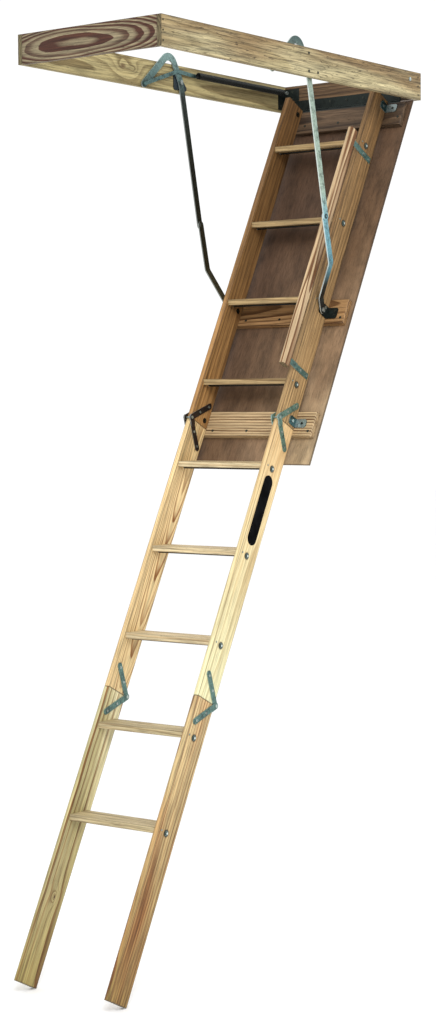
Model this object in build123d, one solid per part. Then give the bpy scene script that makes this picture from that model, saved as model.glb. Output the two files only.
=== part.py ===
from build123d import *
import math
import os

os.makedirs("parts", exist_ok=True)

# ---------------------------------------------------------------------------
# Folding attic ladder, shown pulled down and unfolded.  Millimetres.
# X is the climber's right, Y runs to the hinge end of the frame, Z is up.
# The origin is the centre of the hinge header's outer face.
# ---------------------------------------------------------------------------

# frame
frame_width = 558.8
frame_length = 1440.0
frame_depth = 92.0
board = 15.9
header = 38.1
half_width = frame_width / 2
inner_half = half_width - board
frame_bottom = -frame_depth / 2

# door and its hinge
open_angle = 62.57
hinge_setback = 3.5
hinge_y = -header - hinge_setback
knuckle_radius = 3.2
hinge_pin_radius = 1.5
leaf = 1.9
hinge_length = 2 * 222.0
knuckle_count = 9
knuckle_gap = 0.4
knuckle_clearance = 0.8
knuckle_lap = 0.5
hinge_pin_fit = 0.02
hinge_pin_end = 2.0
panel_half_width = 274.5
panel_thickness = 5.2
panel_start = 5.5
panel_end = 1395.5
cleat_thickness = 19.05
cleat_half_length = 260.5
cleat_spans = {"top": (22.0, 110.9), "middle": (796.0, 884.9), "bottom": (1213.0, 1301.9)}

# ladder: s runs down the rails from the door hinge, t stands off the door panel
rail_thickness = 19.05
rail_width = 88.9
rail_outer = 187.6
rail_inner = rail_outer - rail_thickness
rail_back = cleat_thickness
rail_front = rail_back + rail_width
rail_top = 15.5
section_gap = 1.0
upper_joint = 1280.0
lower_joint = 2234.0
rail_foot = 3187.0
tread_spacing = 304.8
first_tread = 221.0
tread_thickness = 19.05
tread_depth = 82.5
tread_housing = 6.0
housing_slack = 0.15
tread_trim_reach = 100.0
tread_trim_height = 40.0
tread_counts = {"top": 4, "middle": 3, "bottom": 2}
rod_behind_edge = 31.0
rod_below_top = 22.2
rod_radius = 3.0
rod_washer_radius = 10.0
rod_nut_radius = 6.0
rod_nut = 3.2
rod_tip = 0.3
tread_nail_behind_edge = 9.3
tread_nail_below_top = 8.2

# folding hinges of the ladder
strap_thickness = 2.5
strap_width = 20.0
strap_slack = 0.15
pivot_proud = 5.0
strap_reach = 78.0
strap_drop = 75.0
strap_screw_shares = (0.47, 0.94)
strap_step = 22.0
strap_bend = 1.0
bore_start = 8.0
bore_reach = 9.0
pin_radius = 2.2
pin_head_radius = 5.5
pin_head = 1.6
strap_screw_length = 11.0
running_fit = 0.06

# power arms, one pair each side: pivot on the frame, elbow, pivot on the middle cleat
arm_pivot = (-658.0, -10.0)
upper_arm_length = 480.0
lower_arm_length = 307.8
crook_peak = (-715.0, 87.0)
crook_end = (-855.0, -36.0)
crook_bend = 35.0
arm_width = 25.0
arm_thickness = 4.0
arm_x = inner_half - 6.0
lower_arm_x = arm_x - 4.5
lower_arm_foot_x = 195.9
door_pivot_s = 856.0
door_pivot_t = 58.0
joggle_start = 0.13
joggle_end = 0.50
joggle_bend = 26.0
arm_pin_radius = 4.0
arm_pin_head = 8.0
arm_pin_gap = 0.4
arm_pivot_head = 2.6
arm_foot_head = 3.0
rivet_radius = 6.0
rivet_head = 1.4
plate_bolt_nut = 0.4
pivot_plate = 3.2
plate_bolts = ((-683.0, 29.0), (-683.0, -28.0), (-632.0, -28.0))
plate_corner = 9.0
plate_boss = 14.0

# springs
anchor = (-72.0, 18.5)
anchor_pin = 4.0
anchor_pin_head = 7.0
anchor_eye = 8.5
anchor_tip = 7.0
anchor_head = 2.0
anchor_collar = 2.5
spring_eye = 6.0
spring_neck = 8.0
coil_x = 239.4
coil_radius = 11.2
coil_near = -86.0
coil_far = -587.0
link_x = arm_x - 4.1
link_thickness = 3.2
link_width = 13.0
link_bend = 20.0
link_boss = 4.0
link_boss_radius = 6.0
link_route = ((-560.0, 18.5), (-600.0, 19.5), (-680.0, 24.0), crook_end)

# handrail on the right rail
handrail_thickness = 19.05
handrail_width = 36.0
handrail_inner = rail_outer + 2 * strap_thickness
handrail_back = 162.5
handrail_span = (233.0, 1126.0)
handrail_bracket_at = (260.0, 1090.0)
bracket_width = 20.0
handrail_edge = 4.0
handrail_bracket_foot = 8.0
handrail_bracket_lap = 6.0
handrail_bracket_top = 5.0
handrail_rail_screws = (36.0, 74.0)

# fasteners
screw_radius = 2.0
screw_head_radius = 4.2
screw_head = 1.4
screw_length = 14.0
recess_width = 0.9
recess_depth = 0.7
recess_share = 1.3
nail_radius = 1.3
nail_length = 32.0
nail_head = 2.4
nail_zs = (-30.0, 0.0, 30.0)
washer = 1.2
bore_slack = 0.1
past = 9.0
bore_lead = 1.0
bore_through = 10.0

# frame hinge leaf and the brackets in the frame's corners
hinge_screw_count = 7
hinge_screw_span = 0.94
hinge_leaf_height = 38.0
door_leaf_width = 58.0
leaf_screw_rise = 24.0
frame_screw_length = 11.0
bracket_leg = 46.0
bracket_header_leg = 60.0
bracket_height = 74.0
bracket_rise = 8.0
bracket_screw_rises = (12.0, 38.0, 64.0)
bracket_side_screw = 30.0
bracket_header_screw = 32.0
bracket_leaf_gap = 1.0

# rail angles stand outside the rails on the top and bottom cleats
angle_thickness = 2.8
angle_foot = 44.0
angle_height = 38.0
angle_width = 30.0
angle_corner = 9.0
angle_centres = (44.0, 1257.0)
angle_bolt_t = 41.0
angle_bolt_radius = 3.0
angle_head_radius = 6.0
angle_bolt_head = 2.4
angle_washer_radius = 9.0
angle_screw_reach = 28.0
foot_ear = 3.5
foot_ear_face = rail_outer + foot_ear
foot_length = 42.0
foot_width = 40.0
foot_centre = 848.0
foot_ear_top = 50.0
foot_boss = 12.0
foot_screw_reach = 32.0
foot_screw_offset = 8.0
foot_bolt = (838.0, 41.0)
cleat_screw_xs = (-245.0, -140.0, 0.0, 140.0, 245.0)
cleat_screw_offsets = {"top": 14.0, "middle": 24.0, "bottom": 26.0}
cleat_chamfer = 3.0
cleat_recess_end = 1.0
cleat_recess_slack = 0.5
cleat_recess_depth = 0.1

# badge on the right middle rail
badge_at = (1591.0, 70.0)
badge_size = (241.0, 47.0, 0.8)

LOW = (Align.CENTER, Align.CENTER, Align.MIN)
HIGH = (Align.CENTER, Align.CENTER, Align.MAX)
door = Location((0, hinge_y, frame_bottom), (open_angle, 0, 0))


def slab(x, y, z):
    """Box from three (low, high) pairs."""
    low, high = zip(*(sorted(pair) for pair in (x, y, z)))
    size = [b - a for a, b in zip(low, high)]
    centre = [(a + b) / 2 for a, b in zip(low, high)]
    return Pos(*centre) * Box(*size)


def plank(x, s, t):
    """Box on the ladder, with s measured down the rails."""
    return slab(x, (-s[0], -s[1]), t)


def cross_rod(x, y, z, radius):
    """Round bar along X between two x values."""
    length = abs(x[1] - x[0])
    return Pos(sum(x) / 2, y, z) * Rot(0, 90, 0) * Cylinder(radius, length)


def mirrored(solid):
    return mirror(solid, about=Plane.YZ)


def both_sides(right):
    return [right, mirrored(right)]


def cut(solid, tools):
    """Take the tools out of a solid, one after another."""
    for tool in tools:
        solid = solid - tool
    return solid


def screw(base, direction, length=screw_length, radius=screw_radius, head=screw_head_radius):
    """Pan head screw; base is under the head and direction points to its tip."""
    body = Cylinder(radius, length, align=LOW) + Cylinder(head, screw_head, align=HIGH)
    if head == screw_head_radius:
        slot = Pos(0, 0, -screw_head) * Box(recess_share * head, recess_width, 2 * recess_depth)
        body = body - slot - Rot(0, 0, 90) * slot
    return Plane(origin=base, z_dir=direction).location * body


def bore(base, direction, length=screw_length, radius=screw_radius):
    """Hole that a screw or nail stands in."""
    tool = Cylinder(radius + bore_slack, length + bore_slack, align=LOW)
    return Plane(origin=base, z_dir=direction).location * tool


def write(name, solids, location=Location()):
    """One STEP file for one named piece, or for a set of identical pieces."""
    solids = solids if isinstance(solids, list) else [solids]
    placed = [location * solid for solid in solids]
    shape = placed[0] if len(placed) == 1 else Compound(children=placed)
    shape.label = name
    export_step(shape, f"parts/{name}.step")


# ---------------------------------------------------------------------------
# Power arm geometry in the plane of the arms, as (y, z) points
# ---------------------------------------------------------------------------

def ladder_point(s, t):
    """Place of a ladder point in the frame, with the door hanging open."""
    a = math.radians(open_angle)
    y = hinge_y - s * math.cos(a) - t * math.sin(a)
    z = frame_bottom - s * math.sin(a) + t * math.cos(a)
    return y, z


def elbow_point():
    """Where the two arm links meet, on the free end's side of the line between the pivots."""
    foot = ladder_point(door_pivot_s, door_pivot_t)
    dy, dz = foot[0] - arm_pivot[0], foot[1] - arm_pivot[1]
    span = math.hypot(dy, dz)
    along = (upper_arm_length ** 2 - lower_arm_length ** 2 + span ** 2) / (2 * span)
    off = math.sqrt(upper_arm_length ** 2 - along ** 2)
    uy, uz = dy / span, dz / span
    return arm_pivot[0] + along * uy + off * uz, arm_pivot[1] + along * uz - off * uy


elbow = elbow_point()
door_pivot = ladder_point(door_pivot_s, door_pivot_t)


def flat_strip(points, x, thickness, width, bend):
    """Flat bar that follows (y, z) points, with round ends and round bends."""
    path = [Vector(y, z) for y, z in points]
    line = FilletPolyline(*path, radius=bend) if len(path) > 2 else Line(*path)
    face = trace(line, line_width=width)
    ends = [Pos(p.X, p.Y) * Circle(width / 2) for p in (path[0], path[-1])]
    outline = face + ends[0] + ends[1]
    stand = Plane(origin=(x - thickness / 2, 0, 0), x_dir=(0, 1, 0), z_dir=(1, 0, 0))
    return stand.location * extrude(outline, amount=thickness)


# ---------------------------------------------------------------------------
# Frame
# ---------------------------------------------------------------------------

hinge_screw_xs = [hinge_length * hinge_screw_span * (i / (hinge_screw_count - 1) - 0.5)
                  for i in range(hinge_screw_count)]
leaf_screw_z = frame_bottom + leaf_screw_rise
bracket_base = frame_bottom + bracket_rise
bracket_screw_zs = [bracket_base + rise for rise in bracket_screw_rises]


def nail_bases():
    """Nails through the side boards into both end boards."""
    rows = (-header / 2, -frame_length + board / 2)
    return [(side * half_width, y, z) for side in (1, -1) for y in rows for z in nail_zs]


def inward(base):
    return (-math.copysign(1, base[0]), 0, 0)


nails = [screw(b, inward(b), nail_length, nail_radius, nail_head) for b in nail_bases()]
nail_bores = [bore(b, inward(b), nail_length, nail_radius) for b in nail_bases()]

leaf_screws = [((x, -header - leaf, leaf_screw_z), (0, 1, 0)) for x in hinge_screw_xs]
bracket_screws = [((side * (inner_half - leaf), -header - bracket_side_screw, z), (side, 0, 0))
                  for side in (1, -1) for z in bracket_screw_zs[:1]]
bracket_screws += [((side * (inner_half - bracket_header_screw), -header - leaf, z), (0, 1, 0))
                   for side in (1, -1) for z in bracket_screw_zs[1:]]
frame_screws = leaf_screws + bracket_screws
frame_screw_bores = [bore(*place, frame_screw_length) for place in frame_screws]


def through_bolt(side, y, z, reach):
    """Bolt through a side board, with its round head outside and a nut face inside."""
    inner, outer = side * (inner_half - reach), side * half_width
    shank = cross_rod((inner, outer), y, z, screw_radius)
    head = cross_rod((outer, outer + side * screw_head), y, z, screw_head_radius)
    return shank + head


plate_bolt_solids = [through_bolt(side, y, z, pivot_plate + plate_bolt_nut)
                     for side in (1, -1) for y, z in plate_bolts]
plate_bolt_bores = [cross_rod((side * (inner_half - past), side * half_width), y, z,
                              screw_radius + bore_slack)
                    for side in (1, -1) for y, z in plate_bolts]
anchor_bores = [cross_rod((side * (inner_half - past), side * half_width), *anchor,
                          anchor_pin + bore_slack) for side in (1, -1)]


def side_board(side):
    body = slab((side * inner_half, side * half_width), (-frame_length, 0),
                (frame_bottom, -frame_bottom))
    here = [tool for tool in nail_bores + frame_screw_bores + plate_bolt_bores + anchor_bores
            if tool.bounding_box().center().X * side > 0]
    return cut(body, here)


def end_board(thickness, outer_y):
    body = slab((-inner_half, inner_half), (outer_y, outer_y + thickness),
                (frame_bottom, -frame_bottom))
    return cut(body, nail_bores + frame_screw_bores)


def knuckles(first):
    """Every other knuckle of the long door hinge, at the hinge axis."""
    pitch = hinge_length / knuckle_count
    starts = [-hinge_length / 2 + i * pitch for i in range(first, knuckle_count, 2)]
    return [(start + knuckle_gap, start + pitch - knuckle_gap) for start in starts]


def frame_hinge_leaf():
    """Leaf on the header, with knuckles around the axis below its lower edge."""
    y = (-header, -header - leaf)
    z0 = frame_bottom
    clear = knuckle_radius + knuckle_clearance
    body = slab((-hinge_length / 2, hinge_length / 2), y, (z0 + clear, z0 + hinge_leaf_height))
    for span in knuckles(0):
        body += slab(span, y, (z0 - knuckle_lap, z0 + clear))
        body += cross_rod(span, hinge_y, z0, knuckle_radius)
    body -= cross_rod((-hinge_length, hinge_length), hinge_y, z0, hinge_pin_radius + hinge_pin_fit)
    holes = [bore((x, -header - leaf - bore_lead, z), d, bore_through) for (x, _, z), d in leaf_screws]
    return cut(body, holes)


def door_hinge_leaf():
    """Leaf between the door panel and the top cleat, in ladder coordinates."""
    clear = knuckle_radius + knuckle_clearance
    body = plank((-hinge_length / 2, hinge_length / 2), (clear, door_leaf_width), (0, leaf))
    for span in knuckles(1):
        body += plank(span, (0, clear), (0, leaf))
        body += cross_rod(span, 0, 0, knuckle_radius)
    return body - cross_rod((-hinge_length, hinge_length), 0, 0, hinge_pin_radius + running_fit)


def corner_bracket(side):
    """Angle in the hinge-end corner that the spring's anchor bolt passes through."""
    z = (bracket_base, bracket_base + bracket_height)
    inner = side * inner_half
    y = -header
    on_side = slab((inner, inner - side * leaf), (y, y - bracket_leg), z)
    on_header = slab((inner, inner - side * bracket_header_leg), (y, y - leaf),
                     (frame_bottom + hinge_leaf_height + bracket_leaf_gap, bracket_base + bracket_height))
    hole = cross_rod((inner - side * past, inner), *anchor, anchor_pin + bore_slack)
    return cut(on_side + on_header, frame_screw_bores + [hole])


def anchor_bolt(side):
    """Bolt through the side board that carries the spring's eye."""
    tip = side * (coil_x - anchor_tip)
    outer = side * half_width
    shank = cross_rod((tip, outer), *anchor, anchor_pin)
    head = cross_rod((outer, outer + side * anchor_head), *anchor, anchor_pin_head)
    collar = cross_rod((tip, tip - side * anchor_head), *anchor, anchor_pin + anchor_collar)
    return shank + head + collar


def arm_pivot_plate(side):
    """Steel plate inside the side board that carries the upper arm's pivot."""
    outline = make_hull([Pos(y, z) * Circle(plate_corner).edge() for y, z in plate_bolts])
    boss = Pos(*arm_pivot) * Circle(plate_boss)
    stand = Plane(origin=(inner_half - pivot_plate, 0, 0), x_dir=(0, 1, 0), z_dir=(1, 0, 0))
    plate = stand.location * extrude(outline + boss, amount=pivot_plate)
    plate = cut(plate, [tool for tool in plate_bolt_bores
                        if tool.bounding_box().center().X > 0])
    plate -= cross_rod((inner_half - past, inner_half), *arm_pivot, arm_pin_radius + bore_slack)
    return plate if side > 0 else mirrored(plate)


def arm_pivot_bolt():
    """Shouldered pivot held by the plate, with its head on the room's side of the arm."""
    face = arm_x - arm_thickness / 2 - arm_pin_gap
    shank = cross_rod((face, inner_half), *arm_pivot, arm_pin_radius)
    return shank + cross_rod((face - arm_pivot_head, face), *arm_pivot, arm_pin_head)


def write_frame():
    for name, side in (("right", 1), ("left", -1)):
        write(f"frame_side_board_{name}", side_board(side))
    write("hinge_header_board", end_board(header, -header))
    write("free_end_board", end_board(board, -frame_length))
    write("frame_corner_nails", nails)
    write("frame_hinge_leaf", frame_hinge_leaf())
    pin_end = hinge_length / 2 + hinge_pin_end
    write("door_hinge_pin", cross_rod((-pin_end, pin_end), hinge_y, frame_bottom,
                                      hinge_pin_radius))
    write("corner_brackets", [corner_bracket(side) for side in (1, -1)])
    write("spring_anchor_bolts", [anchor_bolt(side) for side in (1, -1)])
    write("arm_pivot_plates", [arm_pivot_plate(side) for side in (1, -1)])
    write("arm_pivot_bolts", both_sides(arm_pivot_bolt()))
    screws = [screw(*place, frame_screw_length) for place in frame_screws]
    write("frame_screws_and_bolts", screws + plate_bolt_solids)


# ---------------------------------------------------------------------------
# Ladder sections, in ladder coordinates
# ---------------------------------------------------------------------------

def under_edge(edge_s, behind, below):
    """Point behind and below a tread's front top edge, which is at edge_s."""
    a = math.radians(open_angle)
    s = edge_s - behind * math.cos(a) + below * math.sin(a)
    t = rail_front - behind * math.sin(a) - below * math.cos(a)
    return s, t


def rod_place(edge_s):
    """Place of the steel rod that lies under a tread."""
    return under_edge(edge_s, rod_behind_edge, rod_below_top)


def tread_nails(section):
    """Base and direction of one nail at each end of every tread."""
    places = []
    for edge_s in tread_edges(section):
        s, t = under_edge(edge_s, tread_nail_behind_edge, tread_nail_below_top)
        places += [((side * rail_outer, -s, t), (-side, 0, 0)) for side in (1, -1)]
    return places


def level_box(half_length, edge_s, slack=0.0):
    """Level board behind a tread's front top edge; treads are level when the ladder is open."""
    body = slab((-half_length, half_length), (-slack, tread_depth + slack),
                (-tread_thickness - slack, slack))
    return Pos(0, -edge_s, rail_front) * Rot(-open_angle, 0, 0) * body


def nails_for(section):
    return [screw(*place, nail_length, nail_radius, nail_head) for place in tread_nails(section)]


def tread(edge_s, nail_tools):
    body = level_box(rail_inner + tread_housing - housing_slack, edge_s)
    body = cut(body, nail_tools)
    in_front = plank((-rail_outer, rail_outer),
                     (edge_s - tread_trim_reach, edge_s + tread_trim_reach),
                     (rail_front, rail_front + tread_trim_height))
    return body - in_front


def tie_rod(edge_s):
    """Rod under a tread with a washer, a nut and its own tip outside each rail."""
    s, t = rod_place(edge_s)
    face = rail_outer + washer
    tip = face + rod_nut + rod_tip
    rod = cross_rod((-tip, tip), -s, t, rod_radius)
    for side in (1, -1):
        rod += cross_rod((side * rail_outer, side * face), -s, t, rod_washer_radius)
        nut = extrude(RegularPolygon(rod_nut_radius, 6), amount=rod_nut)
        rod += Plane(origin=(side * face, -s, t), z_dir=(side, 0, 0)).location * nut
    return rod


def tread_edges(section):
    order = ["top", "middle", "bottom"]
    before = sum(tread_counts[name] for name in order[:order.index(section)])
    return [first_tread + tread_spacing * (before + i) for i in range(tread_counts[section])]


def strap_ends(joint, end_s_sign, front):
    """Pivot and far end of one hinge strap as (s, t); front tells the edge the pivot is at."""
    pivot_t = rail_front + pivot_proud if front else rail_back - pivot_proud
    end_t = pivot_t - strap_drop if front else pivot_t + strap_drop
    return (joint, pivot_t), (joint + end_s_sign * strap_reach, end_t)


def along(start, end, distance):
    length = math.dist(start, end)
    return tuple(a + (b - a) * distance / length for a, b in zip(start, end))


def strap_screw_points(joint, sign, front):
    start, end = strap_ends(joint, sign, front)
    length = math.dist(start, end)
    return [along(start, end, length * share) for share in strap_screw_shares]


def strap(joint, sign, front, stepped):
    """Hinge strap on the right rail's outer face; a stepped strap's eye lies over the other."""
    start, end = strap_ends(joint, sign, front)
    flat_start = along(start, end, strap_step if stepped else 0.0)
    to_plane = [(-s, t) for s, t in (flat_start, end)]
    x = rail_outer + strap_thickness / 2
    body = flat_strip(to_plane, x, strap_thickness, strap_width, strap_bend)
    if stepped:
        eye_line = [(-start[0], start[1]), (-flat_start[0], flat_start[1])]
        over = x + strap_thickness + strap_slack
        body += flat_strip(eye_line, over, strap_thickness, strap_width, strap_bend)
        foot = Pos(rail_outer, -flat_start[0], flat_start[1]) * Rot(0, 90, 0)
        riser = Cylinder(strap_width / 2, 2 * strap_thickness + strap_slack, align=LOW)
        body += foot * riser
    hole_radius = pin_radius + running_fit
    body -= cross_rod((rail_outer - bore_lead, rail_outer + past), -start[0], start[1], hole_radius)
    screws = strap_screw_points(joint, sign, front)
    return cut(body, [bore((rail_outer + bore_start, -s, t), (-1, 0, 0), bore_reach)
                      for s, t in screws])


def four_straps(joint, sign, front, stepped):
    """The same strap on the outer and inner faces of both rails."""
    outer = strap(joint, sign, front, stepped)
    rail_middle = rail_outer - rail_thickness / 2
    inner = mirror(outer, about=Plane.YZ.offset(rail_middle))
    return [outer, inner, mirrored(outer), mirrored(inner)]


def strap_screws(joint, sign, front):
    """Base and direction of the screws of four straps, none meeting inside the rail."""
    places = []
    for s, t in strap_screw_points(joint, sign, front):
        for side in (1, -1):
            outer = side * (rail_outer + strap_thickness)
            inner = side * (rail_inner - strap_thickness)
            places.append(((outer, -s, t), (-side, 0, 0)))
            places.append(((inner, -s, t), (side, 0, 0)))
    return places


def joint_pin(joint, front):
    """Rivet across the outer and inner straps of one rail, clear of the rail's edge."""
    (s, t), _ = strap_ends(joint, 1, front)
    stack = 2 * strap_thickness + 2 * strap_slack
    x = (rail_inner - stack, rail_outer + stack)
    shank = cross_rod(x, -s, t, pin_radius)
    heads = [cross_rod((x[0] - pin_head, x[0]), -s, t, pin_head_radius),
             cross_rod((x[1], x[1] + pin_head), -s, t, pin_head_radius)]
    return shank + heads[0] + heads[1]


def rail(side, span, edges, screw_places, extra):
    """One rail with open housings for its treads and bores for its fasteners."""
    body = plank((side * rail_inner, side * rail_outer), span, (rail_back, rail_front))
    tools = [level_box(rail_inner + tread_housing, edge, housing_slack) for edge in edges]
    for edge in edges:
        s, t = rod_place(edge)
        tools.append(cross_rod((-rail_outer, rail_outer), -s, t, rod_radius + bore_slack))
    tools += [bore(base, direction, strap_screw_length) for base, direction in screw_places
              if base[0] * side > 0]
    return cut(body, tools + [tool for tool in extra
                              if tool.bounding_box().center().X * side > 0])


def write_section(section, span, screw_places, extra=()):
    edges = tread_edges(section)
    nail_tools = [bore(*place, nail_length, nail_radius) for place in tread_nails(section)]
    for name, side in (("right", 1), ("left", -1)):
        solid = rail(side, span, edges, screw_places, list(extra) + nail_tools)
        write(f"{section}_rail_{name}", solid, door)
    for number, edge in enumerate(edges, 1):
        write(f"{section}_tread_{number}", tread(edge, nail_tools), door)
    write(f"{section}_tie_rods", [tie_rod(edge) for edge in edges], door)


def eased(solid, axis, along_axis, radius):
    """Round a plate's two far corners, which are its edges along the plate's thickness."""
    corners = solid.edges().filter_by(axis).group_by(along_axis)[-1]
    return fillet(corners, radius)


def rail_angle(centre):
    """Angle with rounded corners: an ear on the rail and a foot on the cleat."""
    s = (centre - angle_width / 2, centre + angle_width / 2)
    ear = plank((rail_outer, rail_outer + angle_thickness), s, (rail_back, rail_back + angle_height))
    foot = plank((rail_outer, rail_outer + angle_foot), s, (rail_back, rail_back + angle_thickness))
    both = eased(ear, Axis.X, Axis.Z, angle_corner) + eased(foot, Axis.Z, Axis.X, angle_corner)
    return cut(both, [angle_bolt_bore(centre, angle_bolt_t), bore(*angle_screw(centre))])


def angle_screw(centre):
    base = (rail_outer + angle_screw_reach, -centre, rail_back + angle_thickness)
    return base, (0, 0, -1)


def angle_bolt_bore(s, t):
    radius = angle_bolt_radius + bore_slack
    return cross_rod((rail_inner - past, rail_outer + past), -s, t, radius)


def angle_bolt(s, t, face):
    """Bolt through a rail and an ear whose outer side is at face, with washer, head and nut."""
    shank = cross_rod((rail_inner - washer, face), -s, t, angle_bolt_radius)
    head = cross_rod((face, face + angle_bolt_head), -s, t, angle_head_radius)
    pad = cross_rod((rail_inner - washer, rail_inner), -s, t, angle_washer_radius)
    nut = extrude(RegularPolygon(angle_head_radius, 6), amount=angle_bolt_head)
    nut = Plane(origin=(rail_inner - washer, -s, t), z_dir=(-1, 0, 0)).location * nut
    return shank + head + pad + nut


def arm_foot_bracket():
    """Angle on the middle cleat whose ear, bolted to the rail, carries the lower arm."""
    s = (foot_centre - foot_width / 2, foot_centre + foot_width / 2)
    ear_x = (rail_outer, foot_ear_face)
    ear = plank(ear_x, s, (rail_back, foot_ear_top))
    ear += cross_rod(ear_x, -door_pivot_s, door_pivot_t, foot_boss)
    foot = plank((rail_outer, rail_outer + foot_length), s, (rail_back, rail_back + angle_thickness))
    hole = cross_rod(ear_x, -door_pivot_s, door_pivot_t, arm_pin_radius + bore_slack)
    screws = [bore(*place) for place in foot_bracket_screws(1)]
    return cut(ear + eased(foot, Axis.Z, Axis.X, angle_corner),
               [hole, angle_bolt_bore(*foot_bolt)] + screws)


def foot_bracket_screws(side):
    t = rail_back + angle_thickness
    return [((side * (rail_outer + foot_screw_reach), -foot_centre + dy, t), (0, 0, -1))
            for dy in (-foot_screw_offset, foot_screw_offset)]


def arm_foot_bolt():
    """Pivot bolt through the ear and the lower arm."""
    face = lower_arm_foot_x + arm_thickness / 2 + arm_pin_gap
    shank = cross_rod((rail_outer, face), -door_pivot_s, door_pivot_t, arm_pin_radius)
    return shank + cross_rod((face, face + arm_foot_head), -door_pivot_s, door_pivot_t, arm_pin_head)


def handrail():
    t = (handrail_back, handrail_back + handrail_width)
    body = plank((handrail_inner, handrail_inner + handrail_thickness), handrail_span, t)
    body = fillet(body.edges().filter_by(Axis.Y), handrail_edge)
    return cut(body, [bore(*place) for place in handrail_screws()[:2]])


def handrail_screws():
    """Two screws through the brackets into the handrail, then four into the rail."""
    into_handrail = [((rail_outer + strap_thickness, -s, handrail_back + handrail_width / 2),
                      (1, 0, 0))
                     for s in handrail_bracket_at]
    into_rail = [((rail_outer + strap_thickness, -s, t), (-1, 0, 0))
                 for s in handrail_bracket_at for t in handrail_rail_screws]
    return into_handrail + into_rail


def handrail_bracket(centre):
    """Strap on the rail's outer face, stepped outward to the handrail's inner face."""
    s = (centre - bracket_width / 2, centre + bracket_width / 2)
    step = (rail_front - handrail_bracket_lap, rail_front + handrail_bracket_lap)
    low = plank((rail_outer, rail_outer + strap_thickness), s,
                (rail_back + handrail_bracket_foot, step[1]))
    high = plank((rail_outer + strap_thickness, rail_outer + 2 * strap_thickness), s,
                 (step[0], handrail_back + handrail_width - handrail_bracket_top))
    tools = [bore((x - math.copysign(bore_lead, d[0]), y, z), d, bore_through)
             for (x, y, z), d in handrail_screws()]
    return cut(low + high, tools)


def cleat(name):
    """Board across the door; the top one is let in over the hinge leaf."""
    span = cleat_spans[name]
    body = plank((-cleat_half_length, cleat_half_length), span, (0, cleat_thickness))
    body = chamfer(body.edges().filter_by(Axis.Y).group_by(Axis.Z)[-1], cleat_chamfer)
    if name == "top":
        end = hinge_length / 2 + cleat_recess_end
        body -= plank((-end, end), (0, door_leaf_width + cleat_recess_slack),
                      (0, leaf + cleat_recess_depth))
    return cut(body, [bore(*place) for place in door_screws()])


def door_screws():
    """Screws in the cleats: through the cleat faces and down from the angles on them."""
    face = [((x, -(sum(cleat_spans[name]) / 2 + offset), cleat_thickness), (0, 0, -1))
            for name, offset in cleat_screw_offsets.items() for x in cleat_screw_xs]
    angles = []
    for centre in angle_centres:
        (x, y, z), direction = angle_screw(centre)
        angles += [((side * x, y, z), direction) for side in (1, -1)]
    feet = foot_bracket_screws(1) + foot_bracket_screws(-1)
    return face + angles + feet


def write_top_section():
    straps = strap_screws(upper_joint, -1, True)
    rail_screws = handrail_screws()[2:]
    extra = [bore(*place, strap_screw_length) for place in rail_screws]
    for place in [(centre, angle_bolt_t) for centre in angle_centres] + [foot_bolt]:
        extra += both_sides(angle_bolt_bore(*place))
    span = (rail_top, upper_joint - section_gap / 2)
    write_section("top", span, straps, extra)
    panel = plank((-panel_half_width, panel_half_width), (panel_start, panel_end),
                  (-panel_thickness, 0))
    write("door_panel", panel, door)
    for name in cleat_spans:
        write(f"{name}_cleat", cleat(name), door)
    write("door_hinge_leaf", door_hinge_leaf(), door)
    write("door_screws", [screw(*place) for place in door_screws()], door)
    angles = [rail_angle(centre) for centre in angle_centres]
    write("rail_angles", angles + [mirrored(angle) for angle in angles], door)
    bolts = [angle_bolt(centre, angle_bolt_t, rail_outer + angle_thickness)
             for centre in angle_centres] + [angle_bolt(*foot_bolt, foot_ear_face)]
    write("rail_angle_bolts", bolts + [mirrored(bolt) for bolt in bolts], door)
    write("arm_foot_brackets", both_sides(arm_foot_bracket()), door)
    write("arm_foot_bolts", both_sides(arm_foot_bolt()), door)
    write("handrail", handrail(), door)
    write("handrail_brackets", [handrail_bracket(s) for s in handrail_bracket_at], door)
    write("upper_joint_top_straps", four_straps(upper_joint, -1, True, False), door)
    write("upper_joint_pins", both_sides(joint_pin(upper_joint, True)), door)
    section_screws = [screw(*place, strap_screw_length) for place in straps + rail_screws]
    section_screws += [screw(*place) for place in handrail_screws()[:2]]
    write("top_section_screws", section_screws + nails_for("top"), door)


def badge():
    """Plain stadium-shaped plate on the rail's outer face."""
    length, width, thickness = badge_size
    plate = extrude(SlotOverall(length, width), amount=thickness)
    turned = Plane(origin=(rail_outer, -badge_at[0], badge_at[1]), x_dir=(0, 1, 0),
                   z_dir=(1, 0, 0)).location
    return turned * plate


def write_middle_section():
    places = strap_screws(upper_joint, 1, True) + strap_screws(lower_joint, -1, False)
    write_section("middle", (upper_joint + section_gap / 2, lower_joint - section_gap / 2), places)
    write("upper_joint_middle_straps", four_straps(upper_joint, 1, True, True), door)
    write("lower_joint_middle_straps", four_straps(lower_joint, -1, False, False), door)
    write("lower_joint_pins", both_sides(joint_pin(lower_joint, False)), door)
    screws = [screw(*place, strap_screw_length) for place in places]
    write("middle_section_screws", screws + nails_for("middle"), door)
    write("rail_badge", badge(), door)


def write_bottom_section():
    places = strap_screws(lower_joint, 1, False)
    write_section("bottom", (lower_joint + section_gap / 2, rail_foot), places)
    write("lower_joint_bottom_straps", four_straps(lower_joint, 1, False, True), door)
    screws = [screw(*place, strap_screw_length) for place in places]
    write("bottom_section_screws", screws + nails_for("bottom"), door)


# ---------------------------------------------------------------------------
# Power arms and springs
# ---------------------------------------------------------------------------

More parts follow.
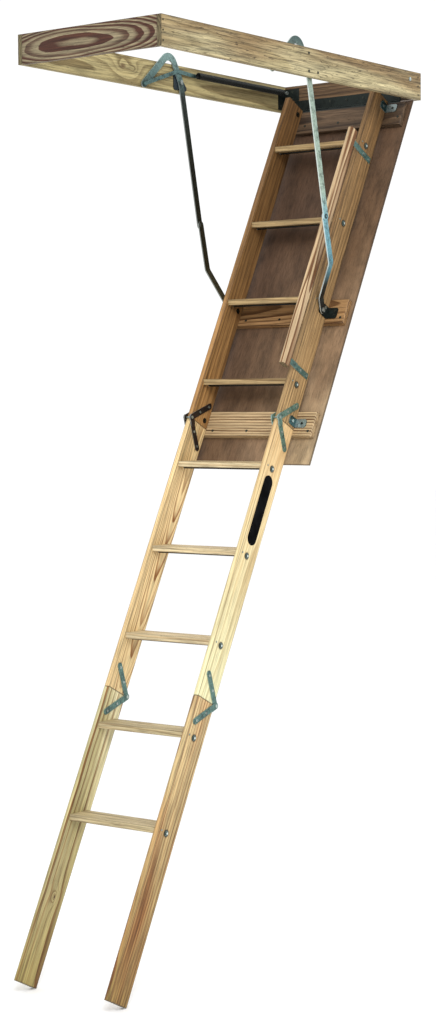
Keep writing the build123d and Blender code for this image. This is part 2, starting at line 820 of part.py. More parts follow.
def upper_arm():
    """Flat bar from the elbow over the pivot, with a crook that the spring pulls on."""
    body = flat_strip((elbow, arm_pivot, crook_peak, crook_end), arm_x, arm_thickness,
                      arm_width, crook_bend)
    face = arm_x - arm_thickness / 2
    for place in (elbow, crook_end):
        body += cross_rod((face, arm_x + arm_thickness / 2 + rivet_head), *place, rivet_radius)
    hole = cross_rod((arm_x - past, arm_x + past), *arm_pivot, arm_pin_radius + running_fit)
    return body - hole


def lower_arm():
    """Flat bar from the door pivot to the elbow, stepped sideways between them."""
    dy, dz = elbow[0] - door_pivot[0], elbow[1] - door_pivot[1]
    length = math.hypot(dy, dz)
    lean = math.degrees(math.atan2(dy, dz))
    route = [(lower_arm_foot_x, 0), (lower_arm_foot_x, joggle_start * length),
             (lower_arm_x, joggle_end * length), (lower_arm_x, length)]
    line = FilletPolyline(*[Vector(*point) for point in route], radius=joggle_bend)
    profile = trace(line, line_width=arm_thickness)
    upright = Plane(origin=(0, arm_width / 2, 0), x_dir=(1, 0, 0), z_dir=(0, -1, 0)).location
    body = upright * extrude(profile, amount=arm_width)
    ends = ((lower_arm_foot_x, 0), (lower_arm_x, length))
    body += [cross_rod((x - arm_thickness / 2, x + arm_thickness / 2), 0, z, arm_width / 2)
             for x, z in ends]
    head = lower_arm_x - arm_thickness / 2 - rivet_head
    body += cross_rod((head, lower_arm_x), 0, length, rivet_radius)
    body -= cross_rod((lower_arm_foot_x - past, lower_arm_foot_x + past), 0, 0,
                      arm_pin_radius + running_fit)
    return Pos(0, *door_pivot) * Rot(-lean, 0, 0) * body


def spring():
    """Closed coil with a hook eye around the anchor bolt, kept as one plain solid."""
    length = coil_near - coil_far
    coil = Pos(coil_x, (coil_near + coil_far) / 2, anchor[1]) * Rot(90, 0, 0)
    body = coil * Cylinder(coil_radius, length)
    eye_x = (coil_x - spring_eye / 2, coil_x + spring_eye / 2)
    eye = cross_rod(eye_x, *anchor, anchor_eye)
    neck = slab(eye_x, (anchor[0], coil_near),
                (anchor[1] - spring_neck / 2, anchor[1] + spring_neck / 2))
    hole = cross_rod((coil_x - past, coil_x + past), *anchor, anchor_pin + running_fit)
    return body + eye + neck - hole


def spring_link():
    """Bent flat bar that carries the spring's pull over the arm pivot to the crook."""
    body = flat_strip(link_route, link_x, link_thickness, link_width, link_bend)
    boss = cross_rod((link_x - link_boss, link_x), *crook_end, link_boss_radius)
    return body + boss


def write_arms():
    for name, solid in (("upper_arm", upper_arm()), ("lower_arm", lower_arm()),
                        ("lift_spring", spring()), ("spring_link", spring_link())):
        write(f"{name}_right", solid)
        write(f"{name}_left", mirrored(solid))


write_frame()
write_top_section()
write_middle_section()
write_bottom_section()
write_arms()
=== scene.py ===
import math
import bpy
from mathutils import Euler, Matrix, Vector


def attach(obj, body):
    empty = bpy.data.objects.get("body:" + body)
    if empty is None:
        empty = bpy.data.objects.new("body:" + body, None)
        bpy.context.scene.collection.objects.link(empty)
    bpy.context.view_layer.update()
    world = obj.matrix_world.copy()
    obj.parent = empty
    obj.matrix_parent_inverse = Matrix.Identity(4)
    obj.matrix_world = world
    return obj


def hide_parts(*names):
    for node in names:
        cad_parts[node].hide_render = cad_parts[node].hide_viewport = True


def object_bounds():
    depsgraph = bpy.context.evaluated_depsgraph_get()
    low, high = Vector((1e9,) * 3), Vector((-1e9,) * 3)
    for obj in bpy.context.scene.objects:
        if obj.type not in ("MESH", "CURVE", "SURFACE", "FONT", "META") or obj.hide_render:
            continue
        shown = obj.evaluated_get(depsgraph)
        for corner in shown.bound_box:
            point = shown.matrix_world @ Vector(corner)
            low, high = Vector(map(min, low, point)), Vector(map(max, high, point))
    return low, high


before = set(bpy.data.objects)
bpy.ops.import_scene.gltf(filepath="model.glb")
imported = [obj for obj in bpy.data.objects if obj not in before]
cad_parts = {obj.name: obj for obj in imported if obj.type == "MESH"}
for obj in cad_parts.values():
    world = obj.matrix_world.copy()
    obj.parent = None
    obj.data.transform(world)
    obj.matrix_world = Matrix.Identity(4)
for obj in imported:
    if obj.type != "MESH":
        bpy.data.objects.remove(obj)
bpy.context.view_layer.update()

# The door and its ladder lie in a plane that leans at this angle about X.
DOOR_ANGLE = math.radians(62.57)
ALONG_LADDER = (-DOOR_ANGLE, 0.0, 0.0)
ACROSS_LADDER = (-DOOR_ANGLE, 0.0, math.pi / 2)
ALONG_FRAME = (0.0, 0.0, 0.0)
ACROSS_FRAME = (0.0, 0.0, math.pi / 2)
TREAD_SPACING = 0.3048
RAIL_INNER = 0.168

# Marks on the rails: painted shade in a dark ring round the washers, and the tread nails' dark dots.
WASHER = 0.010
WASHER_SHADE_RING = 1.45 * WASHER
NAIL_BELOW_ROD = 0.0024
NAIL_BEFORE_ROD = 0.0257
NAIL_DOT = 0.0042

# Place of the power arms' elbow as (y, z), and the size of the mark round its rivet.
ELBOW = (-0.5587, -0.4796)
RIVET_MARK = 0.012

# How far the grain ripples, and how a knot pulls and stretches the rings round it.
RIPPLE = 0.004
KNOT_PULL = 3.2
KNOT_STRETCH = 0.55

# Widths of the painted shade along the boards' corners and of the door panel's darkened edges, and of
# the bevels on sawn boards and sheared steel.
CORNER_SHADE_WIDTH = 0.0028
PANEL_CORNER = 0.004
BOARD_BEVEL = 0.0011
STEEL_BEVEL = 0.0005
BEVEL_ANGLE = math.radians(40)

# Spring wire, coil and the hook at its end, and where the coil lies.
WIRE = 0.0021
COIL_RADIUS = 0.0112 - WIRE / 2
COIL_PITCH = 0.00235
COIL_NEAR = -0.086
COIL_FAR = -0.587
COIL_X = 0.2394
COIL_GROWTH = 1.2
POINTS_PER_TURN = 14
ANCHOR = (-0.072, 0.0185)
HOOK_RADIUS = 0.0068
HOOK_POINTS = 30
HOOK_START = 200
HOOK_SWEEP = 260
HOOK_LEAD = (-0.001, 0.003)

# Camera, light and floor.
CAMERA_PLACE = (4.0546, -6.2136, -1.0771)
CAMERA_YAW = 0.646
CAMERA_PITCH = -0.044
CAMERA_ROLL = -0.007
CAMERA_LENS = 73.19
CAMERA_SENSOR = 36.0
CAMERA_SHIFT = (0.0048, -0.0189)
CAMERA_REACH = 100.0
KEY_PLACE = (4.5, -6.0, 3.5)
KEY_TARGET = (0.0, -0.8, -1.0)
KEY_SIZE = 3.0
KEY_POWER = 320.0
SKY_STRENGTH = 1.06
FLOOR_SIZE = 60
FLOOR_GAP = 0.001


def srgb(code):
    """Linear colour from a six-figure hex code."""
    parts = [int(code[i:i + 2], 16) / 255 for i in (0, 2, 4)]
    return tuple(c / 12.92 if c <= 0.04045 else ((c + 0.055) / 1.055) ** 2.4 for c in parts) + (1.0,)


class Graph:
    """Short names for building a material's nodes."""

    def __init__(self, name):
        self.material = bpy.data.materials.new(name)
        self.material.use_nodes = True
        self.tree = self.material.node_tree
        self.tree.nodes.clear()
        output = self.add("ShaderNodeOutputMaterial")
        self.shader = self.add("ShaderNodeBsdfPrincipled")
        self.link(self.shader.outputs[0], output.inputs[0])

    def add(self, kind, **values):
        node = self.tree.nodes.new(kind)
        for key, value in values.items():
            if hasattr(node, key):
                setattr(node, key, value)
            else:
                node.inputs[key.replace("_", " ")].default_value = value
        return node

    def link(self, source, target):
        self.tree.links.new(source, target)

    def coords(self):
        return self.add("ShaderNodeTexCoord").outputs["Object"]

    def mapped(self, source, location=(0, 0, 0), rotation=(0, 0, 0), scale=(1, 1, 1), kind="POINT"):
        node = self.add("ShaderNodeMapping", vector_type=kind)
        if "Location" in node.inputs:
            node.inputs["Location"].default_value = location
        node.inputs["Rotation"].default_value = rotation
        node.inputs["Scale"].default_value = scale
        self.link(source, node.inputs["Vector"])
        return node.outputs[0]

    def noise(self, source, scale, detail=3.0, roughness=0.5):
        node = self.add("ShaderNodeTexNoise", Scale=scale, Detail=detail, Roughness=roughness)
        self.link(source, node.inputs["Vector"])
        return node

    def ramp(self, source, *stops):
        """Greys or colours at positions; a number stands for a grey."""
        node = self.add("ShaderNodeValToRGB")
        elements = node.color_ramp.elements
        while len(elements) < len(stops):
            elements.new(0.5)
        for element, (position, value) in zip(elements, stops):
            element.position = position
            element.color = value if isinstance(value, tuple) else (value, value, value, 1.0)
        self.link(source, node.inputs[0])
        return node.outputs[0]

    def math(self, operation, a, b=None, clamp=False):
        node = self.add("ShaderNodeMath", operation=operation, use_clamp=clamp)
        for index, value in enumerate((a, b)):
            if value is None:
                continue
            if isinstance(value, (int, float)):
                node.inputs[index].default_value = value
            else:
                self.link(value, node.inputs[index])
        return node.outputs[0]

    def vector(self, operation, a, b):
        node = self.add("ShaderNodeVectorMath", operation=operation)
        for index, value in enumerate((a, b)):
            if isinstance(value, (tuple, list, Vector)):
                node.inputs[index].default_value = tuple(value)
            else:
                self.link(value, node.inputs[index])
        return node.outputs["Value" if operation in ("LENGTH", "DISTANCE") else "Vector"]

    def mix(self, factor, a, b, blend="MIX"):
        node = self.add("ShaderNodeMix", data_type="RGBA", blend_type=blend)
        for socket, value in ((node.inputs[0], factor), (node.inputs[6], a), (node.inputs[7], b)):
            if isinstance(value, (int, float, tuple)):
                socket.default_value = value
            else:
                self.link(value, socket)
        return node.outputs[2]

    def spread(self, source, low, high):
        """Zero where the source is at low and one where it is at high."""
        node = self.add("ShaderNodeMapRange")
        self.link(source, node.inputs["Value"])
        node.inputs["From Min"].default_value = low
        node.inputs["From Max"].default_value = high
        return node.outputs[0]

    def bump(self, height, strength, distance):
        node = self.add("ShaderNodeBump", Strength=strength, Distance=distance)
        self.link(height, node.inputs["Height"])
        self.link(node.outputs[0], self.shader.inputs["Normal"])

    def feed(self, name, value):
        if isinstance(value, (int, float, tuple)):
            self.shader.inputs[name].default_value = value
        else:
            self.link(value, self.shader.inputs[name])


def local_box(node, rotation):
    """Centre and half sizes of a node once it is turned so that its grain runs along Y."""
    turn = Euler(rotation).to_matrix()
    turned = [turn @ vertex.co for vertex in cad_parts[node].data.vertices]
    low = [min(point[i] for point in turned) for i in range(3)]
    high = [max(point[i] for point in turned) for i in range(3)]
    centre = [(a + b) / 2 for a, b in zip(low, high)]
    return centre, [(b - a) / 2 for a, b in zip(low, high)]


def split(g, vector):
    node = g.add("ShaderNodeSeparateXYZ")
    g.link(vector, node.inputs[0])
    return node.outputs[:3]


def edge_mask(g, local, half, width):
    """One along a board's corners and zero on the rest of its faces."""
    near = [g.math("DIVIDE", g.math("SUBTRACT", g.math("ABSOLUTE", axis), size - width), width,
                   clamp=True) for axis, size in zip(split(g, local), half)]
    pairs = [g.math("MULTIPLY", near[i], near[j]) for i, j in ((0, 1), (1, 2), (0, 2))]
    return g.math("MAXIMUM", g.math("MAXIMUM", pairs[0], pairs[1]), pairs[2])


def apart(g, dy, dz):
    """Length of an offset with these two components."""
    return g.math("SQRT", g.math("ADD", g.math("POWER", dy, 2.0), g.math("POWER", dz, 2.0)))


def rod_marks(g, local, centre):
    """Painted shade round each rod's washer and a dark dot at each tread nail."""
    rods, size = local_box("middle_tie_rods", ALONG_LADDER)
    first = rods[1] + size[1] - WASHER - centre[1]
    _, y, z = split(g, local)
    dark = None
    for down, out, outer in ((0.0, 0.0, WASHER_SHADE_RING), (NAIL_BELOW_ROD, NAIL_BEFORE_ROD, NAIL_DOT)):
        dy = g.math("PINGPONG", g.math("SUBTRACT", y, first + down), TREAD_SPACING / 2)
        dz = g.math("SUBTRACT", z, rods[2] + out - centre[2])
        room = g.math("SUBTRACT", outer, apart(g, dy, dz))
        spot = g.math("DIVIDE", room, outer / 3, clamp=True)
        dark = spot if dark is None else g.math("MAXIMUM", dark, spot)
    last, reach = local_box("bottom_tie_rods", ALONG_LADDER)
    lowest = last[1] - reach[1] - 2 * WASHER - centre[1]
    return g.math("MULTIPLY", dark, g.math("GREATER_THAN", y, lowest))


def growth_rings(g, bent, ring, pith, tilt, bow, knots, local):
    """Ring number at a point: rings about a pith that runs beside the board, bent by knots."""
    x, y, z = split(g, bent)
    rise, middle = bow
    from_middle = g.math("SUBTRACT", y, middle)
    x = g.math("ADD", g.math("ADD", x, pith[0]), g.math("MULTIPLY", y, tilt[0]))
    x = g.math("ADD", x, g.math("MULTIPLY", g.math("POWER", from_middle, 2.0), rise))
    z = g.math("ADD", g.math("ADD", z, pith[1]), g.math("MULTIPLY", y, tilt[1]))
    phase = g.math("DIVIDE", apart(g, x, z), ring)
    heart = None
    for along, across, up, size in knots:
        offset = g.vector("SUBTRACT", local, (across, along, up))
        distance = g.vector("LENGTH", g.vector("MULTIPLY", offset,
                                               (1 / size, KNOT_STRETCH / size, 1 / size)), (0, 0, 0))
        pull = g.math("DIVIDE", KNOT_PULL, g.math("ADD", 1.0, g.math("POWER", distance, 2.0)))
        phase = g.math("ADD", phase, pull)
        core = g.ramp(distance, (0.0, 1.0), (0.30, 0.9), (0.42, 0.5), (0.55, 0.0))
        heart = core if heart is None else g.math("MAXIMUM", heart, core)
    return phase, heart


def wood(name, node, rotation, early, late, ring=0.010, pith=(0.08, 0.0), tilt=(0.0, 0.0),
         bow=(0.0, 0.0), contrast=1.0, fibre=0.30, fleck=0.0, stain=None, knots=(), along=None,
         rods=False, wander=0.02, end=0.8, band=0.0, rough=0.62):
    """Sawn softwood: growth rings, fibres, flecks, knots, stain, end grain, and painted shade along the
    corners.
    """
    g = Graph(name)
    seed = (sum(ord(c) * (i + 3) for i, c in enumerate(node)) % 97) * 0.37
    centre, half = local_box(node, rotation)
    local = g.mapped(g.coords(), location=[-c for c in centre], rotation=rotation)
    shifted = g.vector("ADD", local, (0.0, seed, 0.0))
    slow = g.noise(g.mapped(shifted, scale=(5.0, 1.3, 5.0)), 1.0, 2.0)
    sway = g.vector("MULTIPLY", g.vector("SUBTRACT", slow.outputs["Color"], (0.5, 0.5, 0.5)),
                    (wander, 0.0, wander))
    wavy = g.noise(g.mapped(shifted, scale=(30.0, 6.0, 30.0)), 1.0, 2.0)
    ripple = g.vector("MULTIPLY", g.vector("SUBTRACT", wavy.outputs["Color"], (0.5, 0.5, 0.5)),
                      (RIPPLE, 0.0, RIPPLE))
    bent = g.vector("ADD", g.vector("ADD", local, sway), ripple)
    phase, heart = growth_rings(g, bent, ring, pith, tilt, bow, knots, local)
    number = g.add("ShaderNodeTexWhiteNoise", noise_dimensions="1D")
    g.link(g.math("FLOOR", phase), number.inputs["W"])
    weight = g.ramp(number.outputs["Value"], (0.0, 0.45), (1.0, 1.0))
    line = g.ramp(g.math("FRACT", phase), (0.0, 0.0), (0.40 - band, 0.10), (0.74 - band, 0.85),
                  (0.93, 1.0), (1.0, 0.10))
    hair = g.noise(g.mapped(shifted, scale=(300.0, 9.0, 300.0)), 1.0, 4.0, 0.7)
    streak = g.noise(g.mapped(shifted, scale=(75.0, 2.0, 75.0)), 1.0, 3.0, 0.6)
    tone = g.noise(g.mapped(shifted, scale=(12.0, 1.6, 12.0)), 1.0, 2.0)
    amount = g.math("MULTIPLY", g.math("MULTIPLY", line, contrast),
                    g.math("MULTIPLY", weight, g.math("ADD", 0.45, tone.outputs["Fac"])), clamp=True)
    colour = g.mix(amount, srgb(early), srgb(late))
    if stain is not None:
        tint, share = stain
        patch = g.ramp(tone.outputs["Fac"], (0.42, 0.0), (0.62, share))
        colour = g.mix(patch, colour, srgb(tint), "MULTIPLY")
    if along is not None:
        start_tint, end_tint = along
        span = g.spread(split(g, local)[1], half[1], -half[1])
        colour = g.mix(1.0, colour, g.ramp(span, (0.0, srgb(start_tint)), (1.0, srgb(end_tint))),
                       "MULTIPLY")
    shade = g.ramp(hair.outputs["Fac"], (0.36, 1.0 - 1.2 * fibre), (0.5, 1.0 - 0.2 * fibre),
                   (0.64, 1.0 + 0.4 * fibre))
    colour = g.mix(1.0, colour, shade, "MULTIPLY")
    band = g.ramp(streak.outputs["Fac"], (0.34, 1.0 - 0.8 * fibre), (0.66, 1.0 + 0.3 * fibre))
    colour = g.mix(1.0, colour, band, "MULTIPLY")
    if fleck:
        specks = g.noise(g.mapped(shifted, scale=(170.0, 32.0, 170.0)), 1.0, 4.0, 0.75)
        colour = g.mix(g.ramp(specks.outputs["Fac"], (0.30, fleck), (0.42, 0.0)), colour,
                       srgb("2E2212"))
    if heart is not None:
        colour = g.mix(heart, colour, srgb("4A2A14"))
    # Painted shade: a dark ring round each washer stands in for shade at its edge; the nail dots are
    # the nails' own colour.
    if rods:
        colour = g.mix(g.math("MULTIPLY", rod_marks(g, local, centre), 0.75), colour,
                       srgb("2A2016"))
    facing = g.add("ShaderNodeTexCoord").outputs["Normal"]
    across = split(g, g.mapped(facing, rotation=rotation, kind="VECTOR"))[1]
    ends = g.ramp(g.math("ABSOLUTE", across), (0.6, 0.0), (0.8, end))
    colour = g.mix(ends, colour, g.mix(line, srgb("5A5138"), srgb("2A2416")))
    # Painted shade: a dark line along the board's corners, patchy along the streaks, stands in for
    # shade at the edges.
    corner = edge_mask(g, local, half, CORNER_SHADE_WIDTH)
    corner_shade = g.math("MULTIPLY", corner, g.ramp(streak.outputs["Fac"], (0.3, 0.35), (0.7, 0.75)))
    colour = g.mix(corner_shade, colour, srgb("33271A"))
    g.feed("Base Color", colour)
    g.feed("Roughness", g.ramp(hair.outputs["Fac"], (0.3, rough + 0.12), (0.7, rough - 0.08)))
    g.feed("Specular IOR Level", 0.35)
    relief = g.math("ADD", g.math("MULTIPLY", hair.outputs["Fac"], 0.6),
                    g.math("MULTIPLY", line, 0.4))
    g.bump(relief, 0.4, 0.0008)
    return g.material


def plywood(name, rotation):
    """Rotary cut door skin with a painted light and shade gradient: dark at the hinge end and paler
    towards the free right corner.
    """
    g = Graph(name)
    centre, half = local_box("door_panel", rotation)
    local = g.mapped(g.coords(), location=[-c for c in centre], rotation=rotation)
    slow = g.noise(g.mapped(local, scale=(7.0, 1.6, 7.0)), 1.0, 3.0)
    figure = g.noise(g.mapped(local, scale=(16.0, 7.0, 16.0)), 1.0, 4.0, 0.65)
    streak = g.noise(g.mapped(local, scale=(90.0, 1.6, 90.0)), 1.0, 4.0, 0.6)
    pores = g.noise(g.mapped(local, scale=(420.0, 26.0, 420.0)), 1.0, 3.0, 0.75)
    x, y, _ = split(g, local)
    # Painted light and shade: colour runs from dark at the hinge end to pale at the free right corner,
    # as if light fell across the panel.
    reach = g.math("ADD", g.math("MULTIPLY", y, -0.42), g.math("MULTIPLY", x, 0.95))
    reach = g.math("ADD", reach, g.math("MULTIPLY", slow.outputs["Fac"], 0.34))
    colour = g.ramp(reach, (0.02, srgb("584232")), (0.36, srgb("6E553E")), (0.54, srgb("8E7459")),
                    (0.74, srgb("B8A280")))
    colour = g.mix(1.0, colour, g.ramp(figure.outputs["Fac"], (0.36, 0.66), (0.50, 0.94), (0.64, 1.16)),
                   "MULTIPLY")
    colour = g.mix(1.0, colour, g.ramp(streak.outputs["Fac"], (0.3, 0.88), (0.7, 1.09)), "MULTIPLY")
    colour = g.mix(1.0, colour, g.ramp(pores.outputs["Fac"], (0.36, 0.70), (0.52, 1.05)),
                   "MULTIPLY")
    colour = g.mix(g.math("MULTIPLY", edge_mask(g, local, half, PANEL_CORNER), 0.8), colour,
                   srgb("2A1F16"))
    g.feed("Base Color", colour)
    g.feed("Roughness", g.ramp(pores.outputs["Fac"], (0.3, 0.72), (0.7, 0.55)))
    g.feed("Specular IOR Level", 0.3)
    g.bump(pores.outputs["Fac"], 0.25, 0.0004)
    return g.material


def steel(name, colour, metallic=0.75, rough=0.36, spangle=0.30, grime="101614", heights=(),
          left=None, painted_edge_highlight=0.0, rivet=None):
    """Plated or galvanised steel with crystals, handling marks, grime or tints by height, and a painted
    highlight on the edge faces.
    """
    g = Graph(name)
    here = g.coords()
    crystals = g.add("ShaderNodeTexVoronoi", Scale=170.0)
    g.link(here, crystals.inputs["Vector"])
    blotch = g.noise(here, 45.0, 4.0, 0.7)
    scuff = g.noise(g.mapped(here, scale=(700.0, 700.0, 60.0)), 1.0, 3.0, 0.65)
    base = srgb(colour)
    if heights:
        low, high = heights[0][0], heights[-1][0]
        span = g.spread(split(g, here)[2], low, high)
        base = g.ramp(span, *[((z - low) / (high - low), srgb(c)) for z, c in heights])
    if left is not None:
        side = g.math("GREATER_THAN", split(g, here)[0], 0.0)
        base = g.mix(side, srgb(left), srgb(colour))
    tint = g.ramp(crystals.outputs["Distance"], (0.0, 1.0 + 0.4 * spangle), (0.7, 1.0 - spangle))
    base = g.mix(1.0, base, tint, "MULTIPLY")
    base = g.mix(1.0, base, g.ramp(scuff.outputs["Fac"], (0.36, 1.0 - spangle), (0.64, 1.25)),
                 "MULTIPLY")
    dirt = g.ramp(blotch.outputs["Fac"], (0.50, 0.0), (0.66, 0.7))
    colour = g.mix(dirt, base, srgb(grime))
    # Painted highlight: faces whose normal lies across X, the bar's thin edges, are mixed toward
    # near-white as if they caught the light.
    if painted_edge_highlight:
        flat = g.math("ABSOLUTE", split(g, g.add("ShaderNodeTexCoord").outputs["Normal"])[0])
        colour = g.mix(g.ramp(flat, (0.3, painted_edge_highlight), (0.6, 0.0)), colour, srgb("E6EEEA"))
    if rivet is not None:
        _, y, z = split(g, here)
        dy = g.math("SUBTRACT", y, rivet[0])
        dz = g.math("SUBTRACT", z, rivet[1])
        ring = g.ramp(g.math("DIVIDE", apart(g, dy, dz), RIVET_MARK), (0.0, 0.0), (0.35, 0.9),
                      (0.60, 0.9), (0.85, 0.0))
        colour = g.mix(ring, colour, srgb("10201F"))
    g.feed("Base Color", colour)
    g.feed("Metallic", metallic)
    g.feed("Roughness", g.ramp(scuff.outputs["Fac"], (0.3, rough + 0.14), (0.7, rough - 0.10)))
    g.bump(scuff.outputs["Fac"], 0.2, 0.0003)
    return g.material


def rod_steel(name):
    """Dark rod with washers and bright nuts on its ends, painted with a white highlight at the centre
    and painted shade round the nut's and washer's edges.
    """
    g = Graph(name)
    local = g.mapped(g.coords(), rotation=ALONG_LADDER)
    rods, size = local_box("middle_tie_rods", ALONG_LADDER)
    x, y, z = split(g, local)
    dy = g.math("PINGPONG", g.math("SUBTRACT", y, rods[1] + size[1] - WASHER), TREAD_SPACING / 2)
    dz = g.math("SUBTRACT", z, rods[2])
    scratch = g.noise(g.coords(), 900.0, 3.0, 0.7)
    # Painted highlight and shade: a near-white glint at each nut's centre, with dark painted shade
    # rings at the nut's and the washer's edges.
    nut_glint_and_shade = g.ramp(g.math("DIVIDE", apart(g, dy, dz), WASHER), (0.0, srgb("F4FAF6")),
                  (0.34, srgb("B8C6C0")), (0.50, srgb("3C4A46")), (0.70, srgb("7F918B")),
                  (0.92, srgb("1A211F")))
    end = g.ramp(g.math("ABSOLUTE", x), (RAIL_INNER - 0.002, 0.0), (RAIL_INNER + 0.002, 1.0))
    colour = g.mix(end, srgb("1E1A14"), nut_glint_and_shade)
    colour = g.mix(1.0, colour, g.ramp(scratch.outputs["Fac"], (0.35, 0.75), (0.65, 1.1)),
                   "MULTIPLY")
    g.feed("Base Color", colour)
    g.feed("Metallic", 0.5)
    g.feed("Roughness", g.ramp(scratch.outputs["Fac"], (0.3, 0.5), (0.7, 0.3)))
    g.bump(scratch.outputs["Fac"], 0.1, 0.0002)
    return g.material


def plastic(name, colour):
    """Dull moulded plastic with a fine grain and a few smears."""
    g = Graph(name)
    grain = g.noise(g.coords(), 1800.0, 2.0)
    smear = g.noise(g.coords(), 25.0, 3.0)
    g.feed("Base Color", g.mix(g.ramp(smear.outputs["Fac"], (0.4, 0.0), (0.8, 0.35)),
                               srgb(colour), srgb("2A2B2E")))
    g.feed("Roughness", g.ramp(smear.outputs["Fac"], (0.3, 0.50), (0.7, 0.65)))
    g.feed("Specular IOR Level", 0.02)
    g.bump(grain.outputs["Fac"], 0.05, 0.0001)
    return g.material


def paint(node, material):
    """Give every slot of a CAD node, or of a new piece, one material."""
    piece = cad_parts[node] if isinstance(node, str) else node
    if not piece.data.materials:
        piece.data.materials.append(material)
    for index in range(len(piece.data.materials)):
        piece.data.materials[index] = material


# ---- wooden parts ----------------------------------------------------------

def paint_wood():
    boards = {
        "frame_side_board_right": (ALONG_FRAME, "C0B38A", "7C6A3C", dict(
            ring=0.010, pith=(0.10, 0.02), tilt=(0.010, 0.006), contrast=0.6, fibre=0.56,
            fleck=1.0, stain=("A8825C", 0.7), wander=0.03)),
        "frame_side_board_left": (ALONG_FRAME, "B5A676", "5E4A26", dict(
            ring=0.008, pith=(-0.09, 0.012), tilt=(0.012, 0.0), contrast=0.9, fibre=0.36,
            fleck=0.5, knots=((-0.236, 0.0, 0.010, 0.024), (-0.182, 0.0, 0.006, 0.011),
                              (-0.507, 0.0, 0.030, 0.007)))),
        "hinge_header_board": (ACROSS_FRAME, "6C5339", "2C1D10", dict(
            ring=0.008, pith=(0.05, 0.05), fleck=0.5, fibre=0.4)),
        "free_end_board": (ACROSS_FRAME, "94876A", "4A2819", dict(
            ring=0.0042, pith=(0.07, 0.0037), bow=(0.20, -0.035), contrast=2.2, fibre=0.42,
            fleck=0.7, wander=0.018, band=0.12)),
        "top_rail_right": (ALONG_LADDER, "B99868", "6A4826", dict(
            ring=0.012, pith=(0.05, 0.11), tilt=(0.012, 0.0), contrast=0.7, fibre=0.46, fleck=0.35,
            rods=True, band=-0.08, wander=0.03, along=("C4B6A6", "FFFFFF"))),
        "top_rail_left": (ALONG_LADDER, "BC945F", "63431F", dict(
            ring=0.013, pith=(-0.05, 0.05), tilt=(0.02, 0.008), contrast=0.75, fibre=0.36,
            fleck=0.25, band=-0.08, wander=0.03, along=("A89C90", "FFF6EC"))),
        "middle_rail_right": (ALONG_LADDER, "F0E8C2", "B0905A", dict(
            ring=0.011, pith=(0.09, 0.03), tilt=(0.02, 0.0), contrast=0.6, fibre=0.26,
            fleck=0.2, rods=True, band=-0.12, along=("F2D4B8", "FAFEF2"))),
        "middle_rail_left": (ALONG_LADDER, "EBD09A", "96602A", dict(
            ring=0.0040, pith=(-0.07, 0.016), tilt=(0.030, 0.008), contrast=1.2, fibre=0.32,
            wander=0.024, band=-0.10)),
        "bottom_rail_right": (ALONG_LADDER, "DECD9E", "8C5222", dict(
            ring=0.012, pith=(0.03, 0.12), contrast=1.2, fibre=0.44, stain=("D49A66", 0.8),
            rods=True, band=-0.14, along=("FFF4EA", "BCA87E"))),
        "bottom_rail_left": (ALONG_LADDER, "E2D9AE", "8E5C28", dict(
            ring=0.016, pith=(-0.06, 0.05), tilt=(0.02, 0.01), contrast=1.2, fibre=0.36,
            knots=((-0.200, 0.0095, 0.0, 0.008),), stain=("DCD8AE", 0.5), band=-0.15,
            along=("FFFFFF", "BEB288"))),
        "top_cleat": (ACROSS_LADDER, "66503A", "2A1B0F", dict(
            ring=0.012, pith=(0.01, 0.08), tilt=(0.0, 0.03), contrast=1.0, fleck=0.7,
            fibre=0.4, end=0.0)),
        "middle_cleat": (ACROSS_LADDER, "AE8658", "52300F", dict(
            ring=0.008, pith=(0.024, 0.07), tilt=(0.0, 0.03), contrast=1.15, fibre=0.40,
            fleck=0.4, end=0.1)),
        "bottom_cleat": (ACROSS_LADDER, "CBB086", "6A4826", dict(
            ring=0.0072, pith=(0.30, 0.30), contrast=1.25, fibre=0.36, end=0.0, wander=0.020)),
        "handrail": (ALONG_LADDER, "CDB189", "6E4622", dict(
            ring=0.0085, pith=(0.014, 0.006), bow=(0.012, 0.22), contrast=1.3,
            fibre=0.26, wander=0.022, rough=0.5)),
    }
    for node, (rotation, early, late, look) in boards.items():
        paint(node, wood("wood_" + node, node, rotation, early, late, **look))
    treads = {"top": ("B79C6E", "6E5028", 4), "middle": ("DECBA2", "9C7848", 3),
              "bottom": ("C9B88F", "84683A", 2)}
    for section, (early, late, count) in treads.items():
        for number in range(1, count + 1):
            node = f"{section}_tread_{number}"
            paint(node, wood("wood_" + node, node, ACROSS_FRAME, early, late, ring=0.007,
                             pith=(0.015 * number, -0.05), tilt=(0.0, 0.03), contrast=0.8,
                             fibre=0.38, fleck=0.4))
    paint("door_panel", plywood("ply_door", ALONG_LADDER))


# ---- metal and plastic parts ----------------------------------------------

